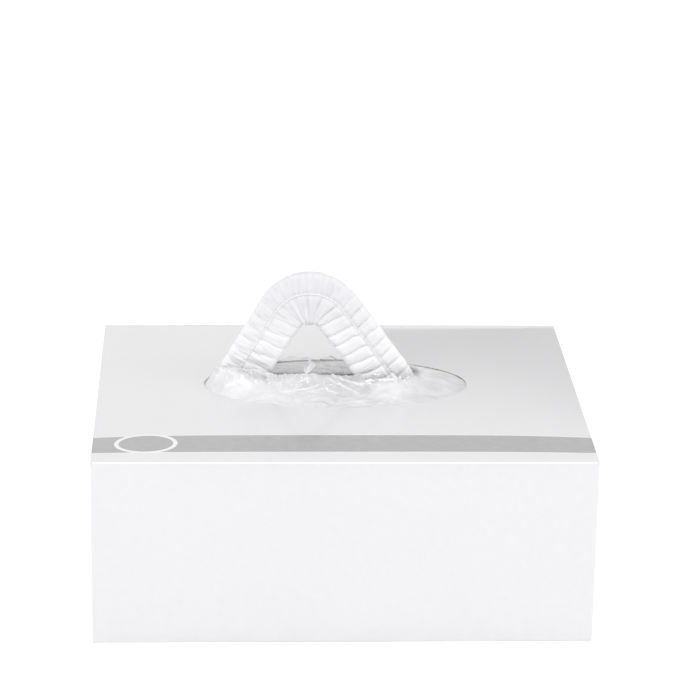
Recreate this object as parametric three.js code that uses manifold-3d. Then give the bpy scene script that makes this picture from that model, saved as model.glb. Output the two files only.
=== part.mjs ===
// A disposable scrub cap in its folded state, drawn up out of its dispenser carton.
// The cap is one nonwoven web, pleated lengthwise into a strip and gathered by an elastic along
// each face. It stands as an arch: both of its ends go down through the film window's slit and
// rest on the carton's floor. Millimetres, +Z up, the origin under the middle of the carton.
import * as THREE from 'three';
import { mergeVertices } from 'three/addons/utils/BufferGeometryUtils.js';
import Module from 'manifold-3d';

// Driving dimensions
const CLEARANCE = 0.3;
const CARTON = { width: 254, depth: 216, height: 98, board: 0.6 };
const END_FLAPS = { upperDrop: 62, lowerRise: 58 };
const OPENING = { centreX: -1, centreY: 4, width: 140, depth: 77 };
const FILM = { marginX: 13, marginY: 13, thickness: 0.6, slitHalfWidth: 5, slitFrom: -44, slitTo: 22 };
const STRIP = { halfWidth: 12.3, layers: 5, wall: 1.4, layerPitch: 2.95, planeY: OPENING.centreY };
const RIBS = { count: 48, relief: 1.9, scallop: 0.9, unevenness: 0.16 };
const SEAM = { offset: 3.5, ribbonWidth: 1.2, ribbonThickness: 0.5, stand: 0.55 };
const END_SEAL = { length: 9, flatness: 0.34 };
const ARCH = { centreX: -15.3, centreZ: 130.2, radius: 18, leftLean: 59.6, rightLean: 54 };
const APEX_SPREAD = { inner: 0.19, outer: 0.11, reach: 14 };
const LIMBS = { leftLength: 38, rightLength: 46, footRadius: 58 };

const radians = THREE.MathUtils.degToRad;
const wasm = await Module();
wasm.setup();

// Materials
const finish = (color, roughness) => new THREE.MeshStandardMaterial({ color, roughness, metalness: 0 });
const nonwoven = finish(0xf4f4f6, 0.85);
const elasticYarn = finish(0xffffff, 0.6);
const cartonBoard = finish(0xececee, 0.45);
const clearFilm = finish(0xe9ebee, 0.15);
clearFilm.transparent = true;
clearFilm.opacity = 0.45;

// The arch's centreline in the XZ plane
// Each row is a line with a length, or an arc with a radius and the angle it turns through,
// from the left foot over the top to the right foot.
const stretches = (() => {
  const lean = { left: radians(ARCH.leftLean), right: radians(ARCH.rightLean) };
  const upright = radians(90);
  const floorZ = CARTON.board + CLEARANCE;
  const footDrop = (angle) => LIMBS.footRadius * Math.cos(angle);
  const shoulderZ = (angle) => ARCH.centreZ + ARCH.radius * Math.cos(angle);
  const shank = (angle, limb) => shoulderZ(angle) - limb * Math.sin(angle) - footDrop(angle) - floorZ;
  return [
    { name: 'left shank', length: shank(lean.left, LIMBS.leftLength), heading: upright },
    { name: 'left bend', radius: LIMBS.footRadius, turn: upright - lean.left },
    { name: 'left limb', length: LIMBS.leftLength },
    { name: 'arch', radius: ARCH.radius, turn: lean.left + lean.right },
    { name: 'right limb', length: LIMBS.rightLength },
    { name: 'right bend', radius: LIMBS.footRadius, turn: upright - lean.right },
    { name: 'right shank', length: shank(lean.right, LIMBS.rightLength) },
  ].map((row) => ({ ...row, length: row.length ?? row.radius * row.turn }));
})();
const stripLength = stretches.reduce((sum, row) => sum + row.length, 0);

// Each stretch's start point and heading, with the left foot found from the arch's centre.
(() => {
  let [x, z, heading] = [0, 0, stretches[0].heading];
  for (const row of stretches) {
    Object.assign(row, { x, z, heading });
    const turn = row.turn ?? 0;
    const [cos, sin] = [Math.cos(heading), Math.sin(heading)];
    if (turn) {
      x += row.radius * (sin - Math.sin(heading - turn));
      z += row.radius * (Math.cos(heading - turn) - cos);
    } else {
      x += row.length * cos;
      z += row.length * sin;
    }
    heading -= turn;
  }
  const arch = stretches.find((row) => row.name === 'arch');
  const shiftX = ARCH.centreX - ARCH.radius * Math.sin(arch.heading) - arch.x;
  const shiftZ = ARCH.centreZ + ARCH.radius * Math.cos(arch.heading) - arch.z;
  for (const row of stretches) {
    row.x += shiftX;
    row.z += shiftZ;
  }
})();

// The point and heading at a distance along the strip.
function centreline(distance) {
  let rest = distance;
  let row = stretches[0];
  for (row of stretches) {
    if (rest <= row.length || row === stretches[stretches.length - 1]) break;
    rest -= row.length;
  }
  const heading = row.heading - (row.radius ? rest / row.radius : 0);
  if (!row.radius) {
    return { x: row.x + rest * Math.cos(heading), z: row.z + rest * Math.sin(heading), heading };
  }
  return {
    x: row.x + row.radius * (Math.sin(row.heading) - Math.sin(heading)),
    z: row.z + row.radius * (Math.cos(heading) - Math.cos(row.heading)),
    heading,
  };
}

// Where it turns over, the strip lies broader than on its limbs.
const archIndex = stretches.findIndex((row) => row.name === 'arch');
const archStart = stretches.slice(0, archIndex).reduce((sum, row) => sum + row.length, 0);
const archTop = archStart + stretches[archIndex].length / 2;

function apexSpread(distance, across) {
  const nearTop = Math.exp(-(((distance - archTop) / APEX_SPREAD.reach) ** 2));
  return 1 + nearTop * (across < 0 ? APEX_SPREAD.inner : APEX_SPREAD.outer);
}

// Sweeping a closed outline along the strip
// An outline's points are [across, through]: across is positive on the arch's outer edge, and
// through is positive towards the back.
function sweep(distances, outlineAt) {
  const positions = [];
  const contours = distances.map((distance) => {
    const contour = outlineAt(distance).map(([across, through]) => new THREE.Vector2(across, through));
    if (!THREE.ShapeUtils.isClockWise(contour)) contour.reverse();
    const at = centreline(distance);
    for (const { x: flatAcross, y: through } of contour) {
      const across = flatAcross * apexSpread(distance, flatAcross);
      const x = at.x - across * Math.sin(at.heading);
      const z = at.z + across * Math.cos(at.heading);
      positions.push(x, STRIP.planeY + through, z);
    }
    return contour;
  });
  const indices = [];
  const size = contours[0].length;
  const last = (contours.length - 1) * size;
  for (let near = 0; near < last; near += size) {
    const far = near + size;
    for (let point = 0; point < size; point += 1) {
      const next = (point + 1) % size;
      indices.push(near + point, near + next, far + next, near + point, far + next, far + point);
    }
  }
  for (const [a, b, c] of THREE.ShapeUtils.triangulateShape(contours[0], [])) indices.push(a, b, c);
  for (const [a, b, c] of THREE.ShapeUtils.triangulateShape(contours[contours.length - 1], [])) {
    indices.push(last + a, last + c, last + b);
  }
  const geometry = new THREE.BufferGeometry();
  geometry.setAttribute('position', new THREE.Float32BufferAttribute(positions, 3));
  geometry.setIndex(indices);
  return geometry;
}

// Gathers: each rib is a lobe between two creases.
const RIB_STEPS = [
  { phase: 0, fullness: 0 },
  { phase: 0.27, fullness: 1 },
  { phase: 0.73, fullness: 1 },
];
const ribPitch = stripLength / RIBS.count;
const webStations = [];
for (let rib = 0; rib < RIBS.count; rib += 1) {
  const uneven = 1 + RIBS.unevenness * Math.sin(2.4 * rib);
  for (const { phase, fullness } of RIB_STEPS) {
    webStations.push({ distance: (rib + phase) * ribPitch, fullness: fullness * uneven });
  }
}
webStations.push({ distance: stripLength, fullness: 0 });

// The pressed end seals squeeze the strip's thickness.
function endSqueeze(distance) {
  const fromEnd = Math.min(distance, stripLength - distance);
  return THREE.MathUtils.lerp(END_SEAL.flatness, 1, THREE.MathUtils.smoothstep(fromEnd, 0, END_SEAL.length));
}

const halfStack = ((STRIP.layers - 1) * STRIP.layerPitch + STRIP.wall) / 2;

// The web's section: one wall going back and forth through all the pleats.
function webOutline(fullness, squeeze) {
  const half = STRIP.wall / 2;
  const edge = STRIP.halfWidth - RIBS.scallop * (1 - Math.min(fullness, 1));
  const inner = edge - STRIP.wall;
  const layer = (index) => (index - (STRIP.layers - 1) / 2) * STRIP.layerPitch;
  const lobes = [
    [(SEAM.offset - edge) / 2, RIBS.relief * fullness],
    [SEAM.offset, 0],
    [(SEAM.offset + edge) / 2, RIBS.relief * fullness],
  ];
  const front = layer(0) - half;
  const back = layer(STRIP.layers - 1) + half;
  const one = [[-edge, front], ...lobes.map(([across, rise]) => [across, front - rise])];
  const other = [[-edge, layer(0) + half]];
  for (let index = 0; index < STRIP.layers - 1; index += 1) {
    const [near, far] = [layer(index), layer(index + 1)];
    if (index % 2 === 0) {
      one.push([edge, near - half], [edge, far + half]);
      other.push([inner, near + half], [inner, far - half]);
    } else {
      one.push([-inner, near + half], [-inner, far - half]);
      other.push([-edge, near - half], [-edge, far + half]);
    }
  }
  one.push([edge, layer(STRIP.layers - 1) - half]);
  other.push(...lobes.map(([across, rise]) => [across, back + rise]), [edge, back]);
  return [...one, ...other.reverse()].map(([across, through]) => [across, through * squeeze]);
}

function pleatedCrown() {
  const stations = new Map(webStations.map((station) => [station.distance, station.fullness]));
  const distances = [...stations.keys()];
  return sweep(distances, (distance) => webOutline(stations.get(distance), endSqueeze(distance)));
}

// An elastic lies in the valley along the middle of a face: side -1 is the front, 1 the back.
function elastic(side) {
  const distances = [];
  for (let rib = 0; rib <= RIBS.count; rib += 0.5) distances.push(rib * ribPitch);
  const halfRibbon = SEAM.ribbonWidth / 2;
  return sweep(distances, (distance) => {
    const near = side * (halfStack * endSqueeze(distance) + SEAM.stand);
    const far = near + side * SEAM.ribbonThickness;
    const [left, right] = [SEAM.offset - halfRibbon, SEAM.offset + halfRibbon];
    const ribbon = [[left, near], [right, near], [right, far], [left, far]];
    return side < 0 ? ribbon.reverse() : ribbon;
  });
}

// The space that the cap takes where it passes the film, with clearance all round.
function capSleeve() {
  const room = 0.6;
  const across = STRIP.halfWidth + room;
  const through = halfStack + RIBS.relief * (1 + RIBS.unevenness) + room;
  const corner = 3;
  const outline = [];
  for (const [signX, signY] of [[1, 1], [-1, 1], [-1, -1], [1, -1]]) {
    const pair = [
      [signX * across, signY * (through - corner)],
      [signX * (across - corner), signY * through],
    ];
    outline.push(...(signX * signY > 0 ? pair : pair.reverse()));
  }
  const steps = 96;
  const distances = Array.from({ length: steps + 1 }, (_, step) => (stripLength * step) / steps);
  return sweep(distances, () => outline);
}

// Booleans
function solidOf(geometry) {
  const bare = geometry.clone();
  bare.deleteAttribute('normal');
  bare.deleteAttribute('uv');
  const merged = mergeVertices(bare, 1e-4);
  return new wasm.Manifold(new wasm.Mesh({
    numProp: 3,
    vertProperties: merged.attributes.position.array,
    triVerts: new Uint32Array(merged.index.array),
  }));
}

function geometryOf(solid) {
  const mesh = solid.getMesh();
  const geometry = new THREE.BufferGeometry();
  geometry.setAttribute('position', new THREE.BufferAttribute(mesh.vertProperties, 3));
  geometry.setIndex(new THREE.BufferAttribute(mesh.triVerts, 1));
  return geometry;
}

// The film window: a sheet glued under the top panel, lifted around the strip's two limbs.
const LIFTS = [
  { name: 'around the left limb', x: -55, spread: 16, front: 11, back: 7 },
  { name: 'between the limbs', x: -14, spread: 20, front: 4.4, back: 0.5 },
  { name: 'around the right limb', x: 31, spread: 15, front: 8.5, back: 7 },
];

// How far inside the opening's rim a point is: 1 at the middle, 0 on the rim.
function insideOpening(x, y) {
  const across = (x - OPENING.centreX) / (OPENING.width / 2);
  const deep = (y - OPENING.centreY) / (OPENING.depth / 2);
  return 1 - Math.hypot(across, deep);
}

function filmHeight(x, y) {
  const fromSlit = Math.max(Math.abs(y - OPENING.centreY) - halfStack, 0);
  const near = Math.exp(-((fromSlit / 8) ** 1.5));
  const side = y < OPENING.centreY ? 'front' : 'back';
  const lift = LIFTS.reduce((sum, row) => sum + row[side] * Math.exp(-(((x - row.x) / row.spread) ** 2)), 0);
  return lift * near * THREE.MathUtils.smoothstep(insideOpening(x, y), 0.03, 0.26);
}

function filmWindow() {
  const top = CARTON.height - CARTON.board - CLEARANCE;
  const spread = (centre, half, steps, crowding) => Array.from({ length: steps + 1 }, (_, step) => {
    const t = (2 * step) / steps - 1;
    return centre + half * Math.sign(t) * Math.abs(t) ** crowding;
  });
  const columns = spread(OPENING.centreX, OPENING.width / 2 + FILM.marginX, 26, 1);
  const rows = spread(OPENING.centreY, OPENING.depth / 2 + FILM.marginY, 16, 1.25);
  const positions = [];
  for (const drop of [0, FILM.thickness]) {
    for (const x of columns) for (const y of rows) positions.push(x, y, top + filmHeight(x, y) - drop);
  }
  const [nx, ny] = [columns.length, rows.length];
  const at = (i, j, under) => under * nx * ny + i * ny + j;
  const indices = [];
  const quad = (a, b, c, d) => indices.push(a, b, c, a, c, d);
  for (let i = 0; i < nx - 1; i += 1) {
    for (let j = 0; j < ny - 1; j += 1) {
      quad(at(i, j, 0), at(i + 1, j, 0), at(i + 1, j + 1, 0), at(i, j + 1, 0));
      quad(at(i, j, 1), at(i, j + 1, 1), at(i + 1, j + 1, 1), at(i + 1, j, 1));
    }
  }
  for (let i = 0; i < nx - 1; i += 1) {
    quad(at(i, 0, 1), at(i + 1, 0, 1), at(i + 1, 0, 0), at(i, 0, 0));
    quad(at(i, ny - 1, 0), at(i + 1, ny - 1, 0), at(i + 1, ny - 1, 1), at(i, ny - 1, 1));
  }
  for (let j = 0; j < ny - 1; j += 1) {
    quad(at(0, j, 0), at(0, j + 1, 0), at(0, j + 1, 1), at(0, j, 1));
    quad(at(nx - 1, j, 1), at(nx - 1, j + 1, 1), at(nx - 1, j + 1, 0), at(nx - 1, j, 0));
  }
  const sheet = new THREE.BufferGeometry();
  sheet.setAttribute('position', new THREE.Float32BufferAttribute(positions, 3));
  sheet.setIndex(indices);
  return geometryOf(solidOf(sheet).subtract(solidOf(capSleeve())).subtract(solidOf(slit())));
}

// The slit between the limbs, as a lens cut straight down through the film.
function slit() {
  const middle = (FILM.slitFrom + FILM.slitTo) / 2;
  const halfLength = (FILM.slitTo - FILM.slitFrom) / 2;
  const lens = new THREE.Shape();
  const steps = 10;
  for (let step = 0; step < 2 * steps; step += 1) {
    const angle = (Math.PI * step) / steps;
    lens[step ? 'lineTo' : 'moveTo'](
      middle + halfLength * Math.cos(angle),
      OPENING.centreY + FILM.slitHalfWidth * Math.sin(angle),
    );
  }
  lens.closePath();
  const cutter = new THREE.ExtrudeGeometry(lens, { depth: CARTON.height, bevelEnabled: false });
  return cutter.translate(0, 0, CARTON.height / 2);
}

// The carton's panels
function topPanel() {
  const [halfX, halfY] = [CARTON.width / 2, CARTON.depth / 2];
  const panel = new THREE.Shape([
    new THREE.Vector2(-halfX, -halfY),
    new THREE.Vector2(halfX, -halfY),
    new THREE.Vector2(halfX, halfY),
    new THREE.Vector2(-halfX, halfY),
  ]);
  const { centreX, centreY } = OPENING;
  panel.holes.push(new THREE.Path().absellipse(centreX, centreY, OPENING.width / 2, OPENING.depth / 2));
  return new THREE.ExtrudeGeometry(panel, { depth: CARTON.board, bevelEnabled: false, curveSegments: 28 });
}

const cap = new THREE.Group();
const carton = new THREE.Group();
const add = (group, name, geometry, material, x = 0, y = 0, z = 0) => {
  const mesh = new THREE.Mesh(geometry, material);
  mesh.name = name;
  mesh.position.set(x, y, z);
  group.add(mesh);
};

add(cap, 'pleated_crown', pleatedCrown(), nonwoven);
add(cap, 'front_elastic', elastic(-1), elasticYarn);
add(cap, 'back_elastic', elastic(1), elasticYarn);

const { width, depth, height, board } = CARTON;
const wallHeight = height - 2 * (board + CLEARANCE);
const endWidth = depth - 2 * (board + CLEARANCE);
add(carton, 'carton_top', topPanel(), cartonBoard, 0, 0, height - board);
add(carton, 'carton_bottom', new THREE.BoxGeometry(width, depth, board), cartonBoard, 0, 0, board / 2);
for (const [name, side] of [['carton_front', -1], ['carton_back', 1]]) {
  const wall = new THREE.BoxGeometry(width, board, wallHeight);
  add(carton, name, wall, cartonBoard, 0, (side * (depth - board)) / 2, height / 2);
}
for (const [name, side] of [['left', -1], ['right', 1]]) {
  const upper = new THREE.BoxGeometry(board, endWidth, END_FLAPS.upperDrop);
  const upperZ = height - board - CLEARANCE - END_FLAPS.upperDrop / 2;
  add(carton, `${name}_upper_flap`, upper, cartonBoard, (side * (width - board)) / 2, 0, upperZ);
  const lower = new THREE.BoxGeometry(board, endWidth, END_FLAPS.lowerRise);
  const lowerX = side * (width / 2 - 1.5 * board - CLEARANCE);
  add(carton, `${name}_lower_flap`, lower, cartonBoard, lowerX, 0, board + CLEARANCE + END_FLAPS.lowerRise / 2);
}
add(carton, 'film_window', filmWindow(), clearFilm);

const root = new THREE.Group();
root.add(cap, carton);
export default root;
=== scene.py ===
"""A disposable pleated cap drawn up out of its dispenser carton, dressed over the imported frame."""

import math
from collections import namedtuple

import bmesh
import bpy
from mathutils import Matrix, Vector, noise


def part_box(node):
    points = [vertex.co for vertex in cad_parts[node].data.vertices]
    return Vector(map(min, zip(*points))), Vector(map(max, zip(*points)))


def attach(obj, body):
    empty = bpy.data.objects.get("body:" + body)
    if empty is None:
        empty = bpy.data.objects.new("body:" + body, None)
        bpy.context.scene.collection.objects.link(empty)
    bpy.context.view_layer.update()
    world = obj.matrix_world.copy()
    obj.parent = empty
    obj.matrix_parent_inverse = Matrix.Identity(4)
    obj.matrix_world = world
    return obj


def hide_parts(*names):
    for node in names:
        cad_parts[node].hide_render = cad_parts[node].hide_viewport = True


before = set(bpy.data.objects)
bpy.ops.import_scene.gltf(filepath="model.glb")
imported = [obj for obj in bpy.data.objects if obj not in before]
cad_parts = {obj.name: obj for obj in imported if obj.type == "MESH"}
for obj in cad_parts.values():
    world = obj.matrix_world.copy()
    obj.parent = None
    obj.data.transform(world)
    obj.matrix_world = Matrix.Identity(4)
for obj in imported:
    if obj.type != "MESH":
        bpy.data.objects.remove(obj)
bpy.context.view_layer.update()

# Lengths are in metres, and angles in the tables in degrees
MM = 0.001
BODY = "root"

# The carton, read from its nodes
TOP_LOW, TOP_HIGH = (Vector(corner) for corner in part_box("carton_top"))
HALF_WIDTH, HALF_DEPTH, HEIGHT = TOP_HIGH.x, TOP_HIGH.y, TOP_HIGH.z
BOARD = TOP_HIGH.z - TOP_LOW.z
PANEL_BULGE = 2.0 * MM
FOLD_RADIUS = 1.1 * MM

# The oval opening in the top panel
OPENING = {"x": -1 * MM, "y": 4 * MM, "half_x": 70 * MM, "half_y": 38.5 * MM}

# The cap's strip and the arch that it makes, as its solids have them
STRIP_Y = OPENING["y"]
STRIP_HALF = 12.1 * MM
LAYERS = 5
LAYER_PITCH = 2.95 * MM
SEAM_OFFSET = 3.5 * MM
END_SEAL, END_FLATNESS = 9 * MM, 0.34
ARCH = {"x": -15.3 * MM, "z": 130.2 * MM, "radius": 18 * MM, "left": 59.6, "right": 54.0}
LEFT_LIMB, RIGHT_LIMB, FOOT_RADIUS = 38 * MM, 46 * MM, 58 * MM
FLOOR_Z = 0.9 * MM
RIB_COUNT = 48
LOBE_HEIGHT = 2.1 * MM


def smoothstep(low, high, value):
    t = min(max((value - low) / (high - low), 0.0), 1.0)
    return t * t * (3 - 2 * t)


def mix(first, second, share):
    return first + (second - first) * share


def near(value, middle, inner, outer):
    """1 within inner of the middle, 0 beyond outer, and smooth between them."""
    return smoothstep(outer, inner, abs(value - middle))


def random_wave(first, second, third):
    """Smooth noise from -1 to 1, the same each run."""
    return noise.noise(Vector((first, second, third)))


# Camera and light
# The camera is fitted to the carton's corners in the photograph.
CAMERA_PLACE = (-66.3 * MM, -1486.6 * MM, 632.7 * MM)
CAMERA_PITCH, CAMERA_YAW, CAMERA_ROLL = 19.006, 2.796, -0.981
CAMERA_LENS, CAMERA_SENSOR = 152.76, 36
LIGHT_TARGET = (0, 0, 0.08)
LIGHTS = [
    {"name": "key", "place": (-0.8, -1.0, 1.8), "size": (1.5, 1.2), "power": 5.2},
    {"name": "strip", "place": (-0.1, -0.95, 1.5), "size": (2.4, 0.14), "power": 4.2},
    {"name": "fill", "place": (1.3, -0.6, 0.9), "size": (0.8, 0.8), "power": 2.5},
]


def add_camera():
    pitch, yaw, roll = (math.radians(angle) for angle in (CAMERA_PITCH, CAMERA_YAW, CAMERA_ROLL))
    forward = Vector((math.sin(yaw) * math.cos(pitch), math.cos(yaw) * math.cos(pitch), -math.sin(pitch)))
    level = Vector((math.cos(yaw), -math.sin(yaw), 0))
    down = forward.cross(level)
    right = level * math.cos(roll) + down * math.sin(roll)
    up = level * math.sin(roll) - down * math.cos(roll)
    camera = bpy.data.cameras.new("camera")
    camera.lens = CAMERA_LENS
    camera.sensor_width = CAMERA_SENSOR
    camera.clip_end = 20
    holder = bpy.data.objects.new("camera", camera)
    turn = Matrix((right, up, -forward)).transposed().to_4x4()
    holder.matrix_world = Matrix.Translation(CAMERA_PLACE) @ turn
    bpy.context.collection.objects.link(holder)
    bpy.context.scene.camera = holder


def add_area_light(row):
    light = bpy.data.lights.new(row["name"], "AREA")
    light.shape = "RECTANGLE"
    light.size, light.size_y = row["size"]
    light.energy = row["power"]
    holder = bpy.data.objects.new(row["name"], light)
    facing = (Vector(LIGHT_TARGET) - Vector(row["place"])).to_track_quat("-Z", "Y")
    holder.matrix_world = Matrix.Translation(row["place"]) @ facing.to_matrix().to_4x4()
    bpy.context.collection.objects.link(holder)


# Materials
class Value:
    """A socket in a material, so that shader maths reads as an expression."""

    def __init__(self, finish, socket):
        self.finish = finish
        self.socket = socket

    def maths(self, operation, first, second=0.0):
        return self.finish.node("ShaderNodeMath", {"operation": operation}, {0: first, 1: second})

    def __add__(self, other):
        return self.maths("ADD", self, other)

    def __sub__(self, other):
        return self.maths("SUBTRACT", self, other)

    def __rsub__(self, other):
        return self.maths("SUBTRACT", other, self)

    def __mul__(self, other):
        return self.maths("MULTIPLY", self, other)

    __radd__ = __add__
    __rmul__ = __mul__

    def __abs__(self):
        return self.maths("ABSOLUTE", self)

    def between(self, low, high):
        """0 below low, 1 above high, and smooth between them. low may be above high."""
        steps = {"Value": self, "From Min": low, "From Max": high}
        return self.finish.node("ShaderNodeMapRange", {"interpolation_type": "SMOOTHSTEP"}, steps)


class Finish:
    """A material, its nodes and the shader that they feed."""

    def __init__(self, name, **constants):
        self.material = bpy.data.materials.new(name)
        self.material.use_nodes = True
        self.tree = self.material.node_tree
        self.shader = self.tree.nodes["Principled BSDF"]
        for socket, value in constants.items():
            self.shader.inputs[socket.replace("_", " ")].default_value = value

    def node(self, kind, settings=None, values=None, output=0):
        node = self.tree.nodes.new(kind)
        for setting, value in (settings or {}).items():
            setattr(node, setting, value)
        for name, value in (values or {}).items():
            if isinstance(value, Value):
                self.tree.links.new(value.socket, node.inputs[name])
            else:
                node.inputs[name].default_value = value
        return Value(self, node.outputs[output])

    def feed(self, socket, value):
        self.tree.links.new(value.socket, self.shader.inputs[socket])

    def place(self):
        return self.node("ShaderNodeTexCoord", output="Object")

    def surface(self):
        """The piece's own UV map, in millimetres."""
        return self.node("ShaderNodeTexCoord", output="UV")

    def split(self, vector):
        split = self.node("ShaderNodeSeparateXYZ", values={"Vector": vector}).socket.node
        return [Value(self, socket) for socket in split.outputs]

    def stretched(self, vector, scale):
        return self.node("ShaderNodeMapping", values={"Vector": vector, "Scale": scale})

    def noise(self, vector, scale, detail=3.0, roughness=0.5):
        values = {"Vector": vector, "Scale": scale, "Detail": detail, "Roughness": roughness}
        return self.node("ShaderNodeTexNoise", values=values)

    def colours(self, share, first, second):
        """From the first colour to the second one as share goes from 0 to 1."""
        return self.node("ShaderNodeMix", {"data_type": "RGBA"}, {0: share, 6: first, 7: second}, output=2)

    def wave(self, value, pitch):
        """A sine from 0 to 1 that repeats every pitch."""
        turns = value * (2 * math.pi / pitch)
        return self.node("ShaderNodeMath", {"operation": "SINE"}, {0: turns}) * 0.5 + 0.5

    def bump(self, height, distance, strength=1.0):
        values = {"Height": height, "Distance": distance, "Strength": strength}
        self.feed("Normal", self.node("ShaderNodeBump", values=values))


def grey(level):
    return (level, level, level, 1.0)


# The cloth's bonding dots, in the millimetres of its UV map
BOND_PITCH = 1.1

# The cap's colour carries painted shade: it is darker at its crown than at its feet
CROWN_SHADE_FROM, CROWN_SHADE_TO = 118 * MM, 156 * MM


def nonwoven_finish():
    """Spunbond cloth: fine fibres, bonding dots and small wrinkles along the gathers, with painted shade in
    the wrinkles' hollows and at the crown.
    """
    cloth = Finish("spunbond", Roughness=0.9, Sheen_Weight=0.12, Sheen_Roughness=0.5)
    cloth.shader.inputs["Specular IOR Level"].default_value = 0.18
    surface = cloth.surface()
    wrinkles = cloth.noise(cloth.stretched(surface, (0.12, 1.0, 1.0)), 0.95, 4.0, 0.6)
    fibres = cloth.noise(cloth.stretched(surface, (1.0, 0.35, 1.0)), 7.0, 2.0, 0.6)
    across, along, _ = cloth.split(surface)
    bonds = cloth.wave(across + along, BOND_PITCH) * cloth.wave(across - along, BOND_PITCH)
    dots = bonds.between(0.55, 0.85)
    # Painted shade: the tone is darker where the wrinkles' bump sinks, mixed with the fibres' own tone
    shade = (wrinkles * 0.7 + fibres * 0.3).between(0.3, 0.62)
    foot = cloth.colours(shade, (0.87, 0.87, 0.885, 1), (0.945, 0.945, 0.955, 1))
    # The crown's copy of the tone is darker: painted shade, mixed in by height
    crown_shaded = cloth.colours(shade, (0.725, 0.725, 0.752, 1), (0.805, 0.805, 0.828, 1))
    _, _, height = cloth.split(cloth.place())
    cloth.feed("Base Color", cloth.colours(height.between(CROWN_SHADE_FROM, CROWN_SHADE_TO), foot, crown_shaded))
    cloth.bump(wrinkles * 1.0 + fibres * 0.12 - dots * 0.08, 0.55 * MM, 0.8)
    return cloth.material


# The yarn's twist, in the millimetres of its UV map
TWIST_PITCH = 0.5


def elastic_finish():
    """White elastic yarn, covered in a fine twist."""
    yarn = Finish("elastic_yarn", Roughness=0.6, Sheen_Weight=0.3)
    _, along, _ = yarn.split(yarn.surface())
    twist = yarn.wave(along, TWIST_PITCH)
    yarn.feed("Base Color", yarn.colours(twist, (0.87, 0.87, 0.89, 1), (0.96, 0.96, 0.98, 1)))
    yarn.bump(twist, 0.06 * MM, 0.7)
    return yarn.material


def board_core_finish():
    """The cut edge of the board: warm grey fibre, paler at the left end and beside the right limb."""
    core = Finish("board_core", Roughness=0.88)
    place = core.place()
    fibres = core.noise(core.stretched(place, (1.0, 1.0, 3.0)), 900.0, 3.0)
    clouds = core.noise(place, 110.0, 2.0)
    shade = (fibres * 0.4 + clouds * 0.6).between(0.36, 0.64)
    tone = core.colours(shade, (0.26, 0.22, 0.19, 1), (0.64, 0.58, 0.52, 1))
    x, _, _ = core.split(place)
    left_end = x.between(-56 * MM, -66 * MM)
    beside_limb = x.between(30 * MM, 34 * MM) * x.between(44 * MM, 40 * MM)
    tone = core.colours((left_end + beside_limb) * 0.8, tone, (0.82, 0.77, 0.7, 1))
    core.feed("Base Color", tone)
    core.bump(fibres, 0.08 * MM, 0.6)
    return core.material


def board_inside_finish():
    """The board's unprinted inside: plain pale pulp, with no varnish."""
    inside = Finish("board_inside", Roughness=0.9)
    fibres = inside.noise(inside.place(), 400.0, 3.0).between(0.3, 0.7)
    inside.feed("Base Color", inside.colours(fibres, (0.66, 0.65, 0.63, 1), (0.76, 0.75, 0.73, 1)))
    return inside.material


# The printed band on the top panel, and the oval badge on it
BAND_FRONT, BAND_BACK = -95 * MM, -73.5 * MM
BAND_LINE_GAP, BAND_LINE_WIDTH = 0.5 * MM, 0.6 * MM
BADGE = {"x": -100 * MM, "y": -83.4 * MM, "half_x": 16 * MM, "half_y": 12.8 * MM, "ring": 2.2 * MM}
PRINT_EDGE = 0.12 * MM

# How far the painted highlight reaches from the front fold, and the wear from the fold's corners
FOLD_HIGHLIGHT_AND_WEAR_REACH = 1.5 * MM


def top_print(board, paper, ink):
    """The paper with the band, its two fine lines and the bare oval badge on the top panel."""
    x, y, z = board.split(board.place())

    def inside(value, low, high):
        above = value.between(low - PRINT_EDGE, low + PRINT_EDGE)
        return above * value.between(high + PRINT_EDGE, high - PRINT_EDGE)

    on_top = z.between(HEIGHT - 0.4 * MM, HEIGHT - 0.2 * MM)
    band = inside(y, BAND_FRONT, BAND_BACK)
    lines = inside(y, BAND_BACK + BAND_LINE_GAP, BAND_BACK + BAND_LINE_GAP + BAND_LINE_WIDTH)
    lines = lines + inside(y, BAND_FRONT - BAND_LINE_GAP - BAND_LINE_WIDTH, BAND_FRONT - BAND_LINE_GAP)

    def oval(half_x, half_y):
        across = (x - BADGE["x"]) * (1 / half_x)
        deep = (y - BADGE["y"]) * (1 / half_y)
        reach = board.node("ShaderNodeMath", {"operation": "SQRT"}, {0: across * across + deep * deep})
        return reach.between(1.01, 0.99)

    ring_outer = oval(BADGE["half_x"], BADGE["half_y"])
    ring_inner = oval(BADGE["half_x"] - BADGE["ring"], BADGE["half_y"] - BADGE["ring"])
    white = grey(0.8)
    printed = board.colours(band * on_top, paper, ink)
    printed = board.colours(lines * on_top, printed, white)
    printed = board.colours(ring_outer * on_top, printed, white)
    return board.colours(ring_inner * on_top, printed, ink)


def highlit_and_worn_fold(board, printed):
    """The print with a painted highlight as a white line along the front fold, and the fold's two corners
    rubbed bare.
    """
    place = board.place()
    x, y, z = board.split(place)
    off_x = (abs(x) - HALF_WIDTH) * (1 / FOLD_HIGHLIGHT_AND_WEAR_REACH)
    off_y = (y + HALF_DEPTH) * (1 / FOLD_HIGHLIGHT_AND_WEAR_REACH)
    off_z = (z - HEIGHT) * (1 / FOLD_HIGHLIGHT_AND_WEAR_REACH)
    off_fold = off_y * off_y + off_z * off_z
    off_corner = off_fold + off_x * off_x
    # Painted highlight: a white line along the front fold
    printed = board.colours(off_fold.between(0.28, 0.1), printed, grey(0.95))
    bare = (off_corner + board.noise(place, 900.0, 2.0) * 2.4 - 1.2).between(0.75, 0.35)
    return board.colours(bare, printed, (0.66, 0.59, 0.5, 1))


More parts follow.
